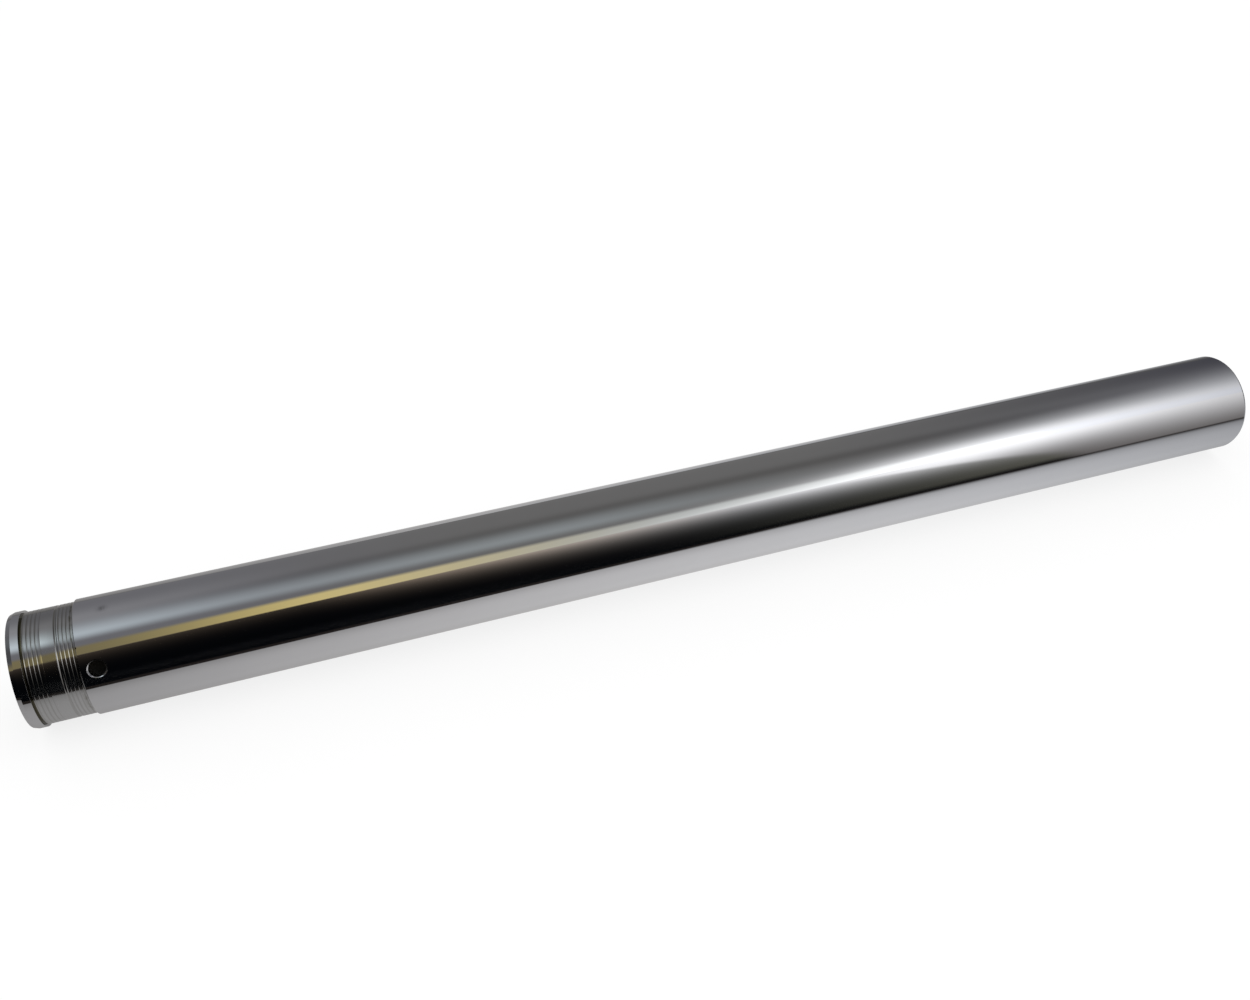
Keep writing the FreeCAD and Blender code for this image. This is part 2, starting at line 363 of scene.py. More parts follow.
def turn_normals(normals, turned):
    """Normals (along, outwards, round) of points at an angle round the axis, in the row frame."""
    c, s = np.cos(turned), np.sin(turned)
    outwards, around = normals[..., 1], normals[..., 2]
    return np.stack([normals[..., 0], outwards * c - around * s, outwards * s + around * c], -1)


def straight_out(t, points):
    """Unit directions from the tube's axis out to points in the row frame."""
    flat = (points - np.array([0, 0, t.outside / 2])) * np.array([0, 1, 1])
    return flat / np.linalg.norm(flat, axis=1, keepdims=True)


def hole_angle(t):
    """The oil hole's direction round the axis, from +Y towards +Z."""
    return math.pi / 2 + t.hole_tilt


def hole_rings(t):
    """Rings of points through the oil hole, from the outside to the bore.

    Each comes with its normals and the finish of the strip that leads to it. A ring is given
    round the hole's axis by angle d, at c sin(d) along the tube and c cos(d) round it. On a
    cylinder of radius r, c cos(d) is r times the sine of the angle round the tube's axis. The
    countersink's rim is where its cone meets the outside: c is the sink's radius less the
    outside's drop, r - sqrt(r^2 - (c cos(d))^2), found by repeating that line.
    """
    around = np.linspace(0, 2 * math.pi, 4 * WINDOW, endpoint=False)
    outside, bore = t.outside / 2, t.outside / 2 - t.wall
    sink, hole, edge = t.hole_sink / 2, t.hole / 2, t.edge / 2
    rim = np.full(4 * WINDOW, sink)
    for _ in range(8):
        rim = sink - (outside - np.sqrt(outside ** 2 - (rim * np.cos(around)) ** 2))
    facing = hole_angle(t)
    up = np.array([0, math.cos(facing), math.sin(facing)])
    side = np.array([0, -math.sin(facing), math.cos(facing)])
    middle = np.array([hole_place(t) - t.tube_length / 2, 0, t.outside / 2])
    outwards = np.cos(around)[:, None] * side + np.sin(around)[:, None] * np.array([1.0, 0, 0])
    cone = (up - outwards) / math.sqrt(2)

    def on_cylinder(c, radius):
        return round_the_axis(t, hole_place(t) + c * np.sin(around), radius,
                              facing + np.arcsin(c * np.cos(around) / radius))

    def at_height(c, height):
        return middle + outwards * np.reshape(c, (-1, 1)) + up * np.reshape(height, (-1, 1))

    rim_points = on_cylinder(rim + edge, outside)
    bore_points = on_cylinder(hole + edge, bore)
    foot = outside - sink + hole
    wall_foot = np.sqrt(bore ** 2 - (hole * np.cos(around)) ** 2) + edge
    return [
        (rim_points, straight_out(t, rim_points), CHROME),
        (at_height(rim - edge, outside - sink + rim - edge), cone, CHROME),
        (at_height(hole + edge, foot + edge), cone, CHROME),
        (at_height(hole, foot - edge), -outwards, CUT),
        (at_height(hole, wall_foot), -outwards, CUT),
        (bore_points, -straight_out(t, bore_points), CUT),
    ]


def between_rings(t, first, last, parts, radius):
    """Rings on a cylinder between two rings that lie on it, blended in place along and angle."""

    def flat(points):
        turned = np.arctan2(points[:, 2] - t.outside / 2, points[:, 1])
        return np.stack([points[:, 0] + t.tube_length / 2, turned], -1)

    start, end = flat(first), flat(last)
    end[:, 1] += 2 * math.pi * np.round((start[:, 1] - end[:, 1]) / (2 * math.pi))
    rings = []
    for part in parts:
        place = start + part * (end - start)
        rings.append(round_the_axis(t, place[:, 0], radius, place[:, 1]))
    return rings


def strip_faces(first, last):
    """Four-cornered faces between two closed rings of point numbers."""
    return np.stack([first, np.roll(first, -1), np.roll(last, -1), last], -1)


def window_ring(numbers):
    """The edge of a square block of point numbers, in order round its middle.

    Rows run along the tube and columns round it; the order is by the angle from the columns'
    direction towards the rows'.
    """
    rows, columns = np.indices(numbers.shape) - numbers.shape[0] // 2
    edge = np.maximum(np.abs(rows), np.abs(columns)) == numbers.shape[0] // 2
    order = np.argsort(np.arctan2(rows[edge], columns[edge]) % (2 * math.pi))
    return numbers[edge][order]


def turned_grid(t):
    """The wall's section turned about the axis, with the thread cut into it.

    Returns the section, then points, normals, faces and finishes on a grid of rows along the
    section and columns round the axis, and the numbers of its points.
    """
    section, section_normals, finish = section_of(t)
    count = len(section)
    turned = hole_angle(t) + np.arange(DIVISIONS) * (2 * math.pi / DIVISIONS)
    along, angle_grid = np.meshgrid(section[:, 0], turned, indexing="ij")
    radius = np.repeat(section[:, 1:], DIVISIONS, axis=1)
    normals = np.zeros((count, DIVISIONS, 3))
    normals[..., :2] = section_normals[:, None]
    radius, normals = cut_thread(t, along, radius, normals, angle_grid)
    points = round_the_axis(t, along, radius, angle_grid).reshape(-1, 3)
    normals = turn_normals(normals, angle_grid).reshape(-1, 3)
    numbers = np.arange(count * DIVISIONS).reshape(count, DIVISIONS)
    beside = np.roll(numbers, -1, axis=1)
    faces = [numbers, beside, np.roll(beside, -1, axis=0), np.roll(numbers, -1, axis=0)]
    faces = np.stack(faces, -1)
    zones = np.repeat(finish[:, None], DIVISIONS, axis=1)
    return section, points, normals, faces, zones, numbers


def tube_grid(t):
    """The tube as points, normals, faces and finishes: the turned section, with a round patch
    that leads through the oil hole in place of a square window in both of its walls."""
    section, points, normals, faces, zones, numbers = turned_grid(t)
    outside, bore = t.outside / 2, t.outside / 2 - t.wall
    window = hole_place(t) + np.linspace(-WINDOW_HALF, WINDOW_HALF, WINDOW + 1)
    columns = np.arange(-(WINDOW // 2), WINDOW // 2 + 1) % DIVISIONS
    kept = np.ones(numbers.shape, bool)
    blocks = []
    for wall_radius in (outside, bore):
        on_wall = np.abs(section[:, 1] - wall_radius) < 1e-7
        rows = [np.argmin(np.where(on_wall, np.abs(section[:, 0] - place), 1)) for place in window]
        low = min(rows)
        kept[low:low + WINDOW][:, columns[:-1]] = False
        blocks.append(window_ring(numbers[np.ix_(rows, columns)]))
    outer_ring, inner_ring = blocks
    rings = hole_rings(t)
    outer_fill = between_rings(t, points[outer_ring], rings[0][0], OUTER_RINGS, outside)
    inner_fill = between_rings(t, rings[-1][0], points[inner_ring], INNER_RINGS, bore)
    chain = [(ring, straight_out(t, ring), CHROME) for ring in outer_fill] + rings
    chain += [(ring, -straight_out(t, ring), BORE) for ring in inner_fill]
    fresh = len(points) + np.arange(len(chain) * len(outer_ring)).reshape(len(chain), -1)
    steps = [outer_ring, *fresh, inner_ring]
    strips = [strip_faces(first, last) for first, last in zip(steps, steps[1:])]
    strip_zones = np.repeat([zone for _, _, zone in chain] + [BORE], len(outer_ring))
    points = np.concatenate([points, *(ring for ring, _, _ in chain)])
    normals = np.concatenate([normals, *(ring_normals for _, ring_normals, _ in chain)])
    faces = np.concatenate([faces[kept], *strips])
    zones = np.concatenate([zones[kept], strip_zones])
    used, faces = np.unique(faces, return_inverse=True)
    return points[used], normals[used], faces.reshape(-1, 4), zones


def add_mesh(name, points, faces, normals=None, zones=None):
    """A mesh object at the origin, from arrays of points, faces, normals and finishes."""
    mesh = bpy.data.meshes.new(name)
    mesh.from_pydata(points.tolist(), [], faces.tolist())
    if zones is not None:
        mesh.polygons.foreach_set("material_index", zones.astype(np.int32))
    if normals is not None:
        mesh.shade_smooth()
        mesh.normals_split_custom_set_from_vertices(normals.tolist())
    mesh.update()
    if mesh.validate(verbose=True):
        raise RuntimeError(f"{name} had faulty faces")
    piece = bpy.data.objects.new(name, mesh)
    bpy.context.scene.collection.objects.link(piece)
    return piece


class Field:
    """A number that nodes work out. Arithmetic on it adds Math nodes to the same tree."""

    def __init__(self, tree, socket):
        self.tree = tree
        self.socket = socket

    def math(self, operation, *others):
        """The result of one Math node that takes this number first."""
        node = self.tree.nodes.new("ShaderNodeMath")
        node.operation = operation
        for place, value in zip(node.inputs, (self, *others)):
            feed(place, value)
        return Field(self.tree, node.outputs[0])

    def __add__(self, other):
        return self.math("ADD", other)

    def __sub__(self, other):
        return self.math("SUBTRACT", other)

    def __mul__(self, other):
        return self.math("MULTIPLY", other)

    def __truediv__(self, other):
        return self.math("DIVIDE", other)

    def step(self, low, high):
        """0 up to low, 1 from high, with a smooth slope between; low may be the larger."""
        node = self.tree.nodes.new("ShaderNodeMapRange")
        node.interpolation_type = "SMOOTHSTEP"
        feed(node.inputs["Value"], self if low < high else self * -1.0)
        node.inputs["From Min"].default_value = low if low < high else -low
        node.inputs["From Max"].default_value = high if low < high else -high
        return Field(self.tree, node.outputs["Result"])

    def hump(self, middle, width):
        """A bell curve round middle: exp(-((x - middle) / width)^2)."""
        off = (self - middle) / width
        return (off * off * -1.0).math("EXPONENT")


def feed(socket, value):
    """Link a number or colour made by nodes to a socket, or set a plain one on it."""
    if isinstance(value, Field):
        value.tree.links.new(value.socket, socket)
    elif isinstance(value, bpy.types.NodeSocket):
        value.node.id_data.links.new(value, socket)
    elif isinstance(value, tuple) and len(value) == 3 and socket.type == "RGBA":
        socket.default_value = (*value, 1.0)
    else:
        socket.default_value = value


def blend(tree, part, first, second, mode="MIX", held=True):
    """A colour between first and second, or first with second added, by part; part is kept
    between 0 and 1 unless held is off."""
    node = tree.nodes.new("ShaderNodeMix")
    node.data_type = "RGBA"
    node.blend_type = mode
    node.clamp_factor = held
    node.clamp_result = False
    feed(node.inputs["Factor"], part)
    colour_inputs = [socket for socket in node.inputs if socket.type == "RGBA"]
    feed(colour_inputs[0], first)
    feed(colour_inputs[1], second)
    return next(socket for socket in node.outputs if socket.type == "RGBA")


def place_fields(tree, kind="Object"):
    """The three numbers of a place on the piece, or of a direction in the world."""
    coordinates = tree.nodes.new("ShaderNodeTexCoord")
    parts = tree.nodes.new("ShaderNodeSeparateXYZ")
    tree.links.new(coordinates.outputs[kind], parts.inputs[0])
    return [Field(tree, socket) for socket in parts.outputs]


def grain(x, y, z, pattern):
    """Noise from 0 to 1 over a place.

    The pattern gives the grains a metre along x, y and z, the layers of finer noise on top, and
    how strong each layer is beside the one before.
    """
    tree = x.tree
    scales, detail, roughness = pattern
    place = tree.nodes.new("ShaderNodeCombineXYZ")
    for socket, value, scale in zip(place.inputs, (x, y, z), scales):
        feed(socket, value * scale)
    node = tree.nodes.new("ShaderNodeTexNoise")
    node.inputs["Scale"].default_value = 1.0
    node.inputs["Detail"].default_value = detail
    node.inputs["Roughness"].default_value = roughness
    tree.links.new(place.outputs[0], node.inputs["Vector"])
    return Field(tree, node.outputs[0])


def new_material(name):
    """An empty node material with its output."""
    material = bpy.data.materials.new(name)
    material.use_nodes = True
    tree = material.node_tree
    tree.nodes.clear()
    output = tree.nodes.new("ShaderNodeOutputMaterial")
    return material, tree, output


# Dirt on metal, also the colour of painted shade on it, in linear light.
GRIME_AND_SHADE = (0.02, 0.018, 0.016)

# Noise patterns of the finishes and the floor, as grain takes them, and how pale its fibres are.
HAIRLINES = ((5200, 40, 40), 3.0, 0.7)
RUBS = ((9, 900, 900), 2.0, 0.5)
HAZE = ((60, 60, 60), 4.0, 0.6)
GREY_SPOT_FIBRES = ((900, 300, 300), 3.0, 0.7)
FEED_LINES = ((3500, 25, 25), 4.0, 0.75)
MOTTLE = ((900, 350, 350), 3.0, 0.65)
HONING = ((2600, 1, 1), 2.0, 0.5)
BORE_STAIN = ((45, 110, 110), 4.0, 0.6)
CUT_RINGS = ((4200, 4200, 1), 3.0, 0.7)
CUT_STAIN = ((260, 260, 260), 4.0, 0.6)
FLOOR_FIBRES = ((700, 700, 700), 3.0, 0.5)
FIBRE_GAIN = 1.03

# Heights of the tool marks.
GRINDING_HEIGHT = 0.00002 * MM
TURNING_HEIGHT = 0.0003 * MM
CUTTING_HEIGHT = 0.003 * MM

# Marks on the outside: place along the tube, angle from +Y towards +Z, and half-widths along the
# tube and round it.
CHIP = (22.2 * MM, math.radians(126.6), 0.45 * MM, 0.45 * MM)
# A soft darker, rougher grey spot on top of the chrome.
GREY_SPOT = (32.2 * MM, math.radians(89.4), 1.5 * MM, 1.3 * MM)


def metal(name, colour_value, roughness, marks, relief, stain_and_shade_colour=GRIME_AND_SHADE):
    """A metal finish.

    marks(x, y, z) gives three numbers made by nodes: how much stain or painted shade the metal has,
    how much rougher, and the height of its tool marks from 0 to 1; relief is that height in metres.
    """
    material, tree, output = new_material(name)
    shader = tree.nodes.new("ShaderNodeBsdfPrincipled")
    shader.inputs["Metallic"].default_value = 1.0
    stain, rougher, height = marks(*place_fields(tree))
    feed(shader.inputs["Base Color"], blend(tree, stain, tuple(colour_value), tuple(stain_and_shade_colour)))
    feed(shader.inputs["Roughness"], rougher + roughness)
    bump = tree.nodes.new("ShaderNodeBump")
    bump.inputs["Strength"].default_value = 1.0
    bump.inputs["Distance"].default_value = relief
    feed(bump.inputs["Height"], height)
    tree.links.new(bump.outputs[0], shader.inputs["Normal"])
    tree.links.new(shader.outputs[0], output.inputs["Surface"])
    return material


def spot(x, y, z, t, along, turned, width, height):
    """A soft round mark on the outside: 1 in its middle, at a place along the tube and an angle
    from +Y towards +Z, with half-widths along and round the tube."""
    radius = t.outside / 2
    off_x = (x - (along - t.tube_length / 2)) / width
    off_y = (y - radius * math.cos(turned)) / height
    off_z = (z - radius * (1 + math.sin(turned))) / height
    return ((off_x * off_x + off_y * off_y + off_z * off_z) * -1.0).math("EXPONENT")


def chip(x, y, z, t):
    """A dark chip where the plating ends, at the edge of the body shoulder."""
    return spot(x, y, z, t, *CHIP).step(0.25, 0.6)


def countersink_painted_shade(x, y, z, t):
    """Painted shade in the oil hole's countersink, all round but for the side towards the lip and
    down.

    It lies within the sink's radius of the hole's axis, on the wall that the hole goes through.
    """
    facing, radius = hole_angle(t), t.hole_sink / 2
    height = z - t.outside / 2
    along = x - (hole_place(t) - t.tube_length / 2)
    down = y * -math.sin(facing) + height * math.cos(facing)
    out = y * math.cos(facing) + height * math.sin(facing)
    sunk = (along * along + down * down).math("SQRT").step(radius + t.edge, radius - t.edge)
    # The side towards the lip and down is left without painted shade.
    unshaded_side = (down * 0.65 - along * 0.75).step(-0.6 * radius, -0.1 * radius)
    return sunk * out.step(0.0, t.wall) * (unshaded_side * -1.0 + 1.0)


def chrome_marks(t):
    """Ground and polished chrome: hairlines round the tube from grinding, a few fine rubs along it,
    cloudy handling haze, one soft darker and rougher grey spot on top, a dark chip at the shoulder
    and painted shade in the oil hole's countersink."""

    def marks(x, y, z):
        rubs = grain(x, y, z, RUBS).step(0.64, 0.78)
        haze = grain(x, y, z, HAZE)
        # A soft darker, rougher grey spot on top.
        grey_spot = spot(x, y, z, t, *GREY_SPOT) * grain(x, y, z, GREY_SPOT_FIBRES).step(0.1, 0.6)
        darker = haze * 0.05 + grey_spot * 0.45 + chip(x, y, z, t)
        # Painted shade in the oil hole's countersink.
        darker = darker + countersink_painted_shade(x, y, z, t) * 0.85
        rougher = haze * 0.03 + rubs * 0.025 + grey_spot * 0.15 - 0.02
        return darker, rougher, grain(x, y, z, HAIRLINES)

    return marks


def seat_marks(t):
    """Turned seat: fine uneven feed lines round it, dull smooth grooves, painted shade in the
    undercut, darker on all but its front, and a mottled stain beside the body shoulder."""
    shoulder = t.lip + t.seat - t.tube_length / 2

    def marks(x, y, z):
        lines = grain(x, y, z, FEED_LINES)
        mottle = grain(x, y, z, MOTTLE)
        up = z - t.outside / 2
        cut = (y * y + up * up).math("SQRT") * -1.0 + (t.outside / 2 - t.seat_depth)
        groove = cut.step(0.003 * MM, 0.03 * MM)
        # Painted shade in the square undercut at the foot of the lip.
        undercut = cut.step(0.5 * t.undercut_depth, 0.9 * t.undercut_depth)
        ring = x.step(shoulder - 2.0 * MM, shoulder - 0.8 * MM)
        # Darker on all but the front of the seat.
        darker_but_front = y.step(-0.28 * t.outside, -0.15 * t.outside)
        stain = lines * 0.12 + groove * 0.2 + undercut * 0.7 + ring * mottle.step(0.35, 0.7) * 0.45
        darker = stain + darker_but_front * 0.2 + chip(x, y, z, t)
        rougher = lines * 0.02 + mottle * 0.02 - groove * 0.03
        return darker, rougher, lines

    return marks


def bore_marks(t):
    """Honed bore: a cross-hatch of two crossing sets of fine lines, and a cloudy stain."""

    def marks(x, y, z):
        turned = (z - t.outside / 2).math("ARCTAN2", y) * (t.outside / 2 - t.wall)
        zero = x * 0.0
        hatch = grain(x + turned * 0.6, zero, zero, HONING)
        other = grain(x - turned * 0.6, zero, zero, HONING)
        stain = grain(x, y, z, BORE_STAIN)
        return stain * 0.35, hatch * 0.12 + stain * 0.1, hatch + other

    return marks


def cut_marks(t):
    """Turned and drilled faces: fine rings round the tube's axis and a cloudy stain."""

    def marks(x, y, z):
        up = z - t.outside / 2
        radius = (y * y + up * up).math("SQRT")
        zero = x * 0.0
        rings = grain(x * 1.4, radius, zero, CUT_RINGS)
        stain = grain(x, y, z, CUT_STAIN)
        return rings * 0.15 + stain * 0.2, rings * 0.12, rings

    return marks


def in_a_mirror(tree):
    """1 for rays that come off metal, else 0, as a number made by nodes."""
    path = tree.nodes.new("ShaderNodeLightPath")
    return Field(tree, path.outputs["Is Glossy Ray"])


# The studio that the chrome mirrors. Angles are in degrees round the tube and places are shares
# of a direction along it, as studio_colour says. A pair is a change's start and end.

# Room above and behind: its colours from left to right and the changes between them.
ROOM_COLOURS = ((0.223, 0.22, 0.235), (0.223, 0.218, 0.213), (0.03, 0.031, 0.054))
ROOM_CHANGES = ((-0.15, 0.15), (0.367, 0.81))

# A faint dark seam and a lighter band in that room: angle, spread, places and strength.
ROOM_BANDS = ((111.0, 12.2, (0.656, 0.597), -0.064), (118.8, 25.6, (0.024, -0.276), 0.198))

# Cool panel overhead: how far it leans, its two edges, its strengths by place, and its tint.
PANEL_LEAN = 15.4
PANEL_FRONT = (71.2, 89.9)
PANEL_BACK = (123.1, 75.1)
PANEL_LEAST = 0.01
PANEL_LIGHTS = (((0.451, 0.149), 0.138), ((-0.005, -0.682), 1.079))
PANEL_TINT = (1.507, 1.78, 1.885)

# Strip in front of the panel: its foot and head, how far the head leans, and its colours.
STRIP_FOOT = (49.2, 50.8)
STRIP_HEAD = (69.6, 61.4)
STRIP_LEAN = 1.3
OLIVE, YELLOW, OLIVE_TO_YELLOW = (0.289, 0.241, 0.124), (0.971, 0.781, 0.313), (-0.198, 0.023)
PALE, DUSK, PALE_TO_DUSK = (0.601, 0.616, 0.588), (0.051, 0.064, 0.112), (0.531, 0.561)
WARM_TO_PALE = (-0.073, 0.311)

# Lamps: strength, angle and spread, then place and spread, and their tint.
STUDIO_LAMPS = (
    (1.145, 59.0, 20.0, 0.528, 0.103),
    (0.692, 53.2, 50.8, 0.656, 0.12),
    (1.038, 39.7, 22.5, 0.427, 0.139),
)
LAMP_TINT = (1.042, 1.044, 1.052)

# Black opening below the strip: its right end, its middle angle and half its height, the power of
# its outline, which is between a circle's and a square's, and its soft edge.
OPENING_END = 0.572
OPENING_MIDDLE = -26.6
OPENING_HALF = 93.8
OPENING_POWER = 2.58
OPENING_EDGE = (1.05, 0.95)
OPENING_COLOUR = (0.0015, 0.002, 0.003)
BESIDE_OPENING = (0.118, 0.103, 0.097)

# Veil of light in the opening's right part: where it starts, its angles and its tint.
VEIL_START = 0.227
VEIL_ANGLES = (-15.3, -2.2)
VEIL_TINT = (1.03, 1.0, 0.78)

# Trail of light that fades away below the strip. Its angle lies far above the strip, so only the
# tail of its bell shows. Its spread grows to the right, and so does its strength.
TRAIL_ANGLE = 131.9
TRAIL_SPREAD, TRAIL_SPREAD_GROWTH = 39.3, 19.4
TRAIL_STRENGTH, TRAIL_STRENGTH_GROWTH, TRAIL_LEAST = 2.65, 57.5, 1.5
TRAIL_WARM, TRAIL_PALE, TRAIL_CHANGE = (3.34, 2.54, 1.84), (1.0, 0.99, 1.0), (-0.117, 0.364)

# Grey cards at both sides, which shape the tube as seen from there.
LEFT_CARD, LEFT_CARD_ANGLES = (-0.45, -0.75), (50.0, 75.0)
LEFT_CARD_END = (-0.9, -0.97)
RIGHT_CARD = (0.8, 0.95)
CARD_DARK, CARD_PALE = (0.10, 0.10, 0.104), (0.30, 0.30, 0.31)

BLACK, WHITE = (0.0, 0.0, 0.0), (1.0, 1.0, 1.0)


def glow(light, amount, tint):
    """Add a tinted amount of light to a colour made by nodes; a negative amount dims it."""
    tree = amount.tree
    return blend(tree, 1.0, light, blend(tree, amount, BLACK, tint, held=False), "ADD")


def ceiling(tree, across, round_tube):
    """The dim room above and behind, its faint bands, and a cool panel, brightest to the left."""
    light = ROOM_COLOURS[0]
    for places, next_colour in zip(ROOM_CHANGES, ROOM_COLOURS[1:]):
        light = blend(tree, across.step(*places), light, next_colour)
    for band_angle, band_spread, places, strength in ROOM_BANDS:
        band = round_tube.hump(band_angle, band_spread) * across.step(*places) * strength
        light = glow(light, band, WHITE)
    leaning = round_tube + across * PANEL_LEAN
    panel = leaning.step(*PANEL_FRONT) * leaning.step(*PANEL_BACK)
    first, second = (across.step(*places) * strength for places, strength in PANEL_LIGHTS)
    return glow(light, panel * (first + second + PANEL_LEAST), PANEL_TINT)


def warm_strip(tree, across):
    """The strip in front of the panel: olive at the far left, yellow, pale, then dusk."""
    warm = blend(tree, across.step(*OLIVE_TO_YELLOW), OLIVE, YELLOW)
    pale = blend(tree, across.step(*PALE_TO_DUSK), PALE, DUSK)
    return blend(tree, across.step(*WARM_TO_PALE), warm, pale)


def dark_opening(tree, across, round_tube):
    """The black room below the strip, with a veil of light to the right and a warm trail of light
    that fades away from the strip."""
    off = (across - VEIL_START).math("MAXIMUM", 0.0)
    light = glow(OPENING_COLOUR, off * off * round_tube.step(*VEIL_ANGLES), VEIL_TINT)
    width = across.math("MAXIMUM", 0.0) * TRAIL_SPREAD_GROWTH + TRAIL_SPREAD
    strength = (across * TRAIL_STRENGTH_GROWTH + TRAIL_STRENGTH).math("MAXIMUM", TRAIL_LEAST)
    trail = round_tube.hump(TRAIL_ANGLE, width) * strength
    return glow(light, trail, blend(tree, across.step(*TRAIL_CHANGE), TRAIL_WARM, TRAIL_PALE))


def studio_colour(tree):
    """The dim studio that the chrome mirrors, from the direction of a ray.

    across is the direction's share along the tube, from -1 at the lower end's side to 1;
    round_tube is the angle in degrees about the tube: 0 level to the front, 90 overhead, 180
    level behind, and below 0 towards the floor in front.
    """
    across, depth, height = place_fields(tree, "Generated")
    turned = height.math("ARCTAN2", depth * -1.0) * math.degrees(1.0)
    round_tube = turned + turned.math("LESS_THAN", -90.0) * 360.0
    above = round_tube.step(*STRIP_FOOT)
    light = blend(tree, above, BESIDE_OPENING, ceiling(tree, across, round_tube))
    strip = above * (round_tube + across * STRIP_LEAN).step(*STRIP_HEAD)
    light = blend(tree, strip, light, warm_strip(tree, across))
    for strength, lamp_angle, angle_spread, place, place_spread in STUDIO_LAMPS:
        lamp = round_tube.hump(lamp_angle, angle_spread) * across.hump(place, place_spread)
        light = glow(light, lamp * strength, LAMP_TINT)
    wide = (across.math("MAXIMUM", 0.0) / OPENING_END).math("POWER", OPENING_POWER)
    tall = ((round_tube - OPENING_MIDDLE) / OPENING_HALF).math("ABSOLUTE")
    tall = tall.math("POWER", OPENING_POWER)
    opening = (wide + tall).step(*OPENING_EDGE) * (above * -1.0 + 1.0)
    light = blend(tree, opening, light, dark_opening(tree, across, round_tube))
    left_card = across.step(*LEFT_CARD) * round_tube.step(*LEFT_CARD_ANGLES)
    left_light = blend(tree, across.step(*LEFT_CARD_END), CARD_DARK, CARD_PALE)
    light = blend(tree, left_card, light, left_light)
    return blend(tree, across.step(*RIGHT_CARD), light, CARD_PALE)


def paint_world():
    """White for the camera and through clear things, the dim studio in mirrors, and plain even
    light on everything else.

    The world isn't sampled as a lamp is, because such samples would light the chrome with the
    white instead of the studio.
    """
    world = bpy.data.worlds.new("studio")
    bpy.context.scene.world = world
    world.use_nodes = True
    world.cycles.sampling_method = "NONE"
    tree = world.node_tree
    tree.nodes.clear()
    output = tree.nodes.new("ShaderNodeOutputWorld")
    background = tree.nodes.new("ShaderNodeBackground")
    feed(background.inputs["Color"], blend(tree, in_a_mirror(tree), WHITE, studio_colour(tree)))
    tree.links.new(background.outputs[0], output.inputs["Surface"])


# The sheet that the chrome mirrors, which glows with painted light. Its painted light: the pool's
# strength, and the even part. Each of three dimmings, which are painted shade, gives where it
# starts and ends, and what share of the light it takes. The one towards the front ends at the
# sheet's front edge; the one behind the tube takes more towards the upper end.
POOL_LIGHT, EVEN_LIGHT = 0.677, 0.215
FRONT_DIM_START, FRONT_DIM = -34.5 * MM, 0.303
UNDER_TUBE, UNDER_TUBE_DIM = (24.3 * MM, 7.5 * MM), 0.331
BEHIND, BEHIND_DIM, BEHIND_DIM_GROWTH = (30 * MM, 120 * MM), 0.3, 0.3
BEHIND_GROWS = (250 * MM, 450 * MM)

# Its front edge: slant, and softness at the tube's middle with its growth along it and its limits.
EDGE_SLANT = 0.022
EDGE_SOFTNESS, EDGE_SOFTENING = 8.8 * MM, 0.0917
EDGE_SHARPEST, EDGE_SOFTEST = 1.5 * MM, 21.6 * MM

# Its colours to the left and right, the change between them, and the gap in front of it.
SHEET_LEFT, SHEET_RIGHT = (0.9, 0.888, 0.885), (1.094, 1.112, 1.157)
SHEET_CHANGE = (-100 * MM, 400 * MM)
GAP_COLOUR = (0.022, 0.018, 0.016)


def mirrored_sheet(stage, x, y):
    """What the chrome mirrors of the floor: a glowing sheet with a painted pool of light.

    It has painted shade towards its front edge, under the tube and well behind it. In front it ends
    with an edge and a dark gap, past which it lets the studio through. The edge is sharp at the
    tube's lower end and grows softer along the tube.
    """
    tree = x.tree
    # Painted pool of light on the sheet.
    pool = x.hump(stage.pool_place, stage.pool_width) * POOL_LIGHT + EVEN_LIGHT
    # Painted shade towards the front edge, under the tube and behind it.
    pool = pool * (y.step(FRONT_DIM_START, -stage.sheet_front) * -FRONT_DIM + 1.0)
    pool = pool * (y.math("ABSOLUTE").step(*UNDER_TUBE) * -UNDER_TUBE_DIM + 1.0)
    behind = x.step(*BEHIND_GROWS) * BEHIND_DIM_GROWTH + BEHIND_DIM
    pool = pool * (y.step(*BEHIND) * behind * -1.0 + 1.0)
    edge = y + x * EDGE_SLANT + stage.sheet_front
    softness = (x * EDGE_SOFTENING + EDGE_SOFTNESS).math("MAXIMUM", EDGE_SHARPEST)
    softness = softness.math("MINIMUM", EDGE_SOFTEST)
    sheet = tree.nodes.new("ShaderNodeEmission")
    tint = blend(tree, x.step(*SHEET_CHANGE), SHEET_LEFT, SHEET_RIGHT)
    lit = blend(tree, pool * (edge / softness).step(-1.0, 1.0), BLACK, tint)
    feed(sheet.inputs["Color"], blend(tree, 1.0, lit, GAP_COLOUR, "ADD"))
    through = tree.nodes.new("ShaderNodeBsdfTransparent")
    whole = tree.nodes.new("ShaderNodeMixShader")
    feed(whole.inputs["Fac"], ((edge + stage.sheet_gap) / softness).step(-1.0, 1.0))
    tree.links.new(through.outputs[0], whole.inputs[1])
    tree.links.new(sheet.outputs[0], whole.inputs[2])
    return whole


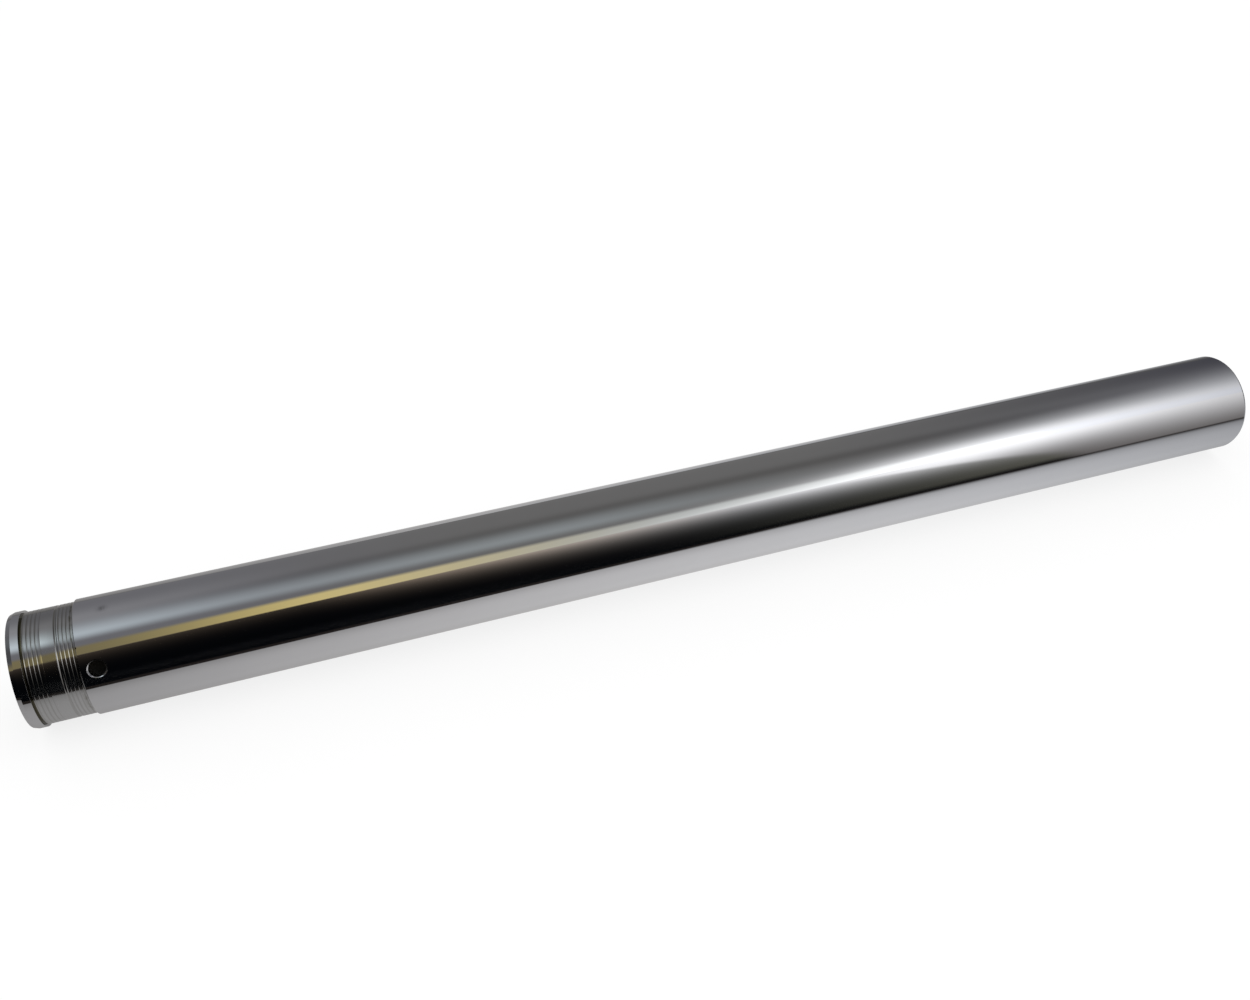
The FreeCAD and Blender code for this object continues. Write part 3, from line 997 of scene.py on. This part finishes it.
def floor_material(stage):
    """The pale floor: white to the camera but for the tube's shadow, in the chrome a glowing sheet
    with painted light and shade.
    """
    material, tree, output = new_material("pale_floor")
    x, y, z = place_fields(tree)
    own = tree.nodes.new("ShaderNodeEmission")
    feed(own.inputs["Color"], WHITE)
    own.inputs["Strength"].default_value = 1.0 - stage.shadow_share
    lit = tree.nodes.new("ShaderNodeBsdfDiffuse")
    shaded = stage.shadow_share
    fibres = grain(x, y, z, FLOOR_FIBRES)
    feed(lit.inputs["Color"], blend(tree, fibres, (shaded,) * 3, (shaded * FIBRE_GAIN,) * 3))
    white = tree.nodes.new("ShaderNodeAddShader")
    tree.links.new(own.outputs[0], white.inputs[0])
    tree.links.new(lit.outputs[0], white.inputs[1])
    choice = tree.nodes.new("ShaderNodeMixShader")
    feed(choice.inputs["Fac"], in_a_mirror(tree))
    tree.links.new(white.outputs[0], choice.inputs[1])
    tree.links.new(mirrored_sheet(stage, x, y).outputs[0], choice.inputs[2])
    tree.links.new(choice.outputs[0], output.inputs["Surface"])
    return material


class ADD_OT_fork_tube(bpy.types.Operator):
    """Add the fork tube in place of its plain solid"""

    bl_idname = "mesh.fork_tube_add"
    bl_label = "Fork Tube"

    def execute(self, context):
        t = context.scene.fork_tube_sizes
        finish = context.scene.fork_tube_finish
        points, normals, faces, zones = tube_grid(t)
        tube = add_mesh("fork_tube_chromed", points, faces, normals, zones)
        for material in (
            metal("hard_chrome", finish.chrome_colour, finish.chrome_roughness, chrome_marks(t),
                  GRINDING_HEIGHT),
            metal("turned_seat", finish.seat_colour, finish.seat_roughness, seat_marks(t),
                  TURNING_HEIGHT, finish.seat_stain_and_shade),
            metal("honed_bore", finish.bore_shaded_colour, finish.bore_roughness, bore_marks(t),
                  CUTTING_HEIGHT),
            metal("cut_steel", finish.cut_colour, finish.cut_roughness, cut_marks(t),
                  CUTTING_HEIGHT),
        ):
            tube.data.materials.append(material)
        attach(tube, "root")
        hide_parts(NODE)
        return {"FINISHED"}


# Soft lamp over the tube: its diameter, place and tilt.
LAMP_DIAMETER = 1.2
LAMP_PLACE = (0.25, -0.35, 1.3)
LAMP_TILT = (math.radians(-15), math.radians(11), 0)


def add_lamp(stage):
    """The soft lamp, which the chrome doesn't mirror."""
    data = bpy.data.lights.new("soft_lamp", "AREA")
    data.shape = "DISK"
    data.size = LAMP_DIAMETER
    data.energy = stage.lamp_power
    lamp = bpy.data.objects.new("soft_lamp", data)
    lamp.location = LAMP_PLACE
    lamp.rotation_euler = LAMP_TILT
    lamp.visible_glossy = False
    bpy.context.scene.collection.objects.link(lamp)


def add_camera(stage):
    """The camera that looks down at the tube from beside its lower end."""
    data = bpy.data.cameras.new("camera")
    data.sensor_width = 36.0
    data.lens = stage.camera_lens
    data.clip_start = 0.01
    data.clip_end = 20.0
    camera = bpy.data.objects.new("camera", data)
    camera.location = stage.camera_place
    camera.rotation_euler = (math.pi / 2 - stage.camera_pitch, 0, -stage.camera_heading)
    bpy.context.scene.collection.objects.link(camera)
    bpy.context.scene.camera = camera


class SCENE_OT_fork_tube_stage(bpy.types.Operator):
    """Add the pale floor, the soft light and the camera"""

    bl_idname = "scene.fork_tube_stage"
    bl_label = "Stage"

    def execute(self, context):
        stage = context.scene.fork_tube_stage
        half = stage.floor_half
        corners = np.array([[-half, -half, 0], [half, -half, 0], [half, half, 0], [-half, half, 0]])
        floor = add_mesh("floor", corners, np.array([[0, 1, 2, 3]]))
        floor.data.materials.append(floor_material(stage))
        paint_world()
        add_lamp(stage)
        add_camera(stage)
        context.scene.view_settings.view_transform = "Standard"
        return {"FINISHED"}


class VIEW3D_PT_fork_tube(bpy.types.Panel):
    """The fork tube's operators and values"""

    bl_label = "Fork Tube"
    bl_space_type = "VIEW_3D"
    bl_region_type = "UI"
    bl_category = "Fork Tube"

    def draw(self, context):
        for operator, group in (
            ("mesh.fork_tube_add", context.scene.fork_tube_sizes),
            (None, context.scene.fork_tube_finish),
            ("scene.fork_tube_stage", context.scene.fork_tube_stage),
        ):
            box = self.layout.box()
            if operator:
                box.operator(operator)
            for name in group.__annotations__:
                box.prop(group, name)


GROUPS = {
    "fork_tube_sizes": TubeSizes,
    "fork_tube_finish": TubeFinish,
    "fork_tube_stage": StageSettings,
}
CLASSES = (*GROUPS.values(), ADD_OT_fork_tube, SCENE_OT_fork_tube_stage, VIEW3D_PT_fork_tube)


def register():
    for item in CLASSES:
        bpy.utils.register_class(item)
    for name, group in GROUPS.items():
        setattr(bpy.types.Scene, name, PointerProperty(type=group))


def unregister():
    for name in GROUPS:
        delattr(bpy.types.Scene, name)
    for item in reversed(CLASSES):
        bpy.utils.unregister_class(item)


def main():
    """Build the tube and its stage."""
    register()
    bpy.ops.mesh.fork_tube_add()
    bpy.ops.scene.fork_tube_stage()


if __name__ == "__main__":
    main()
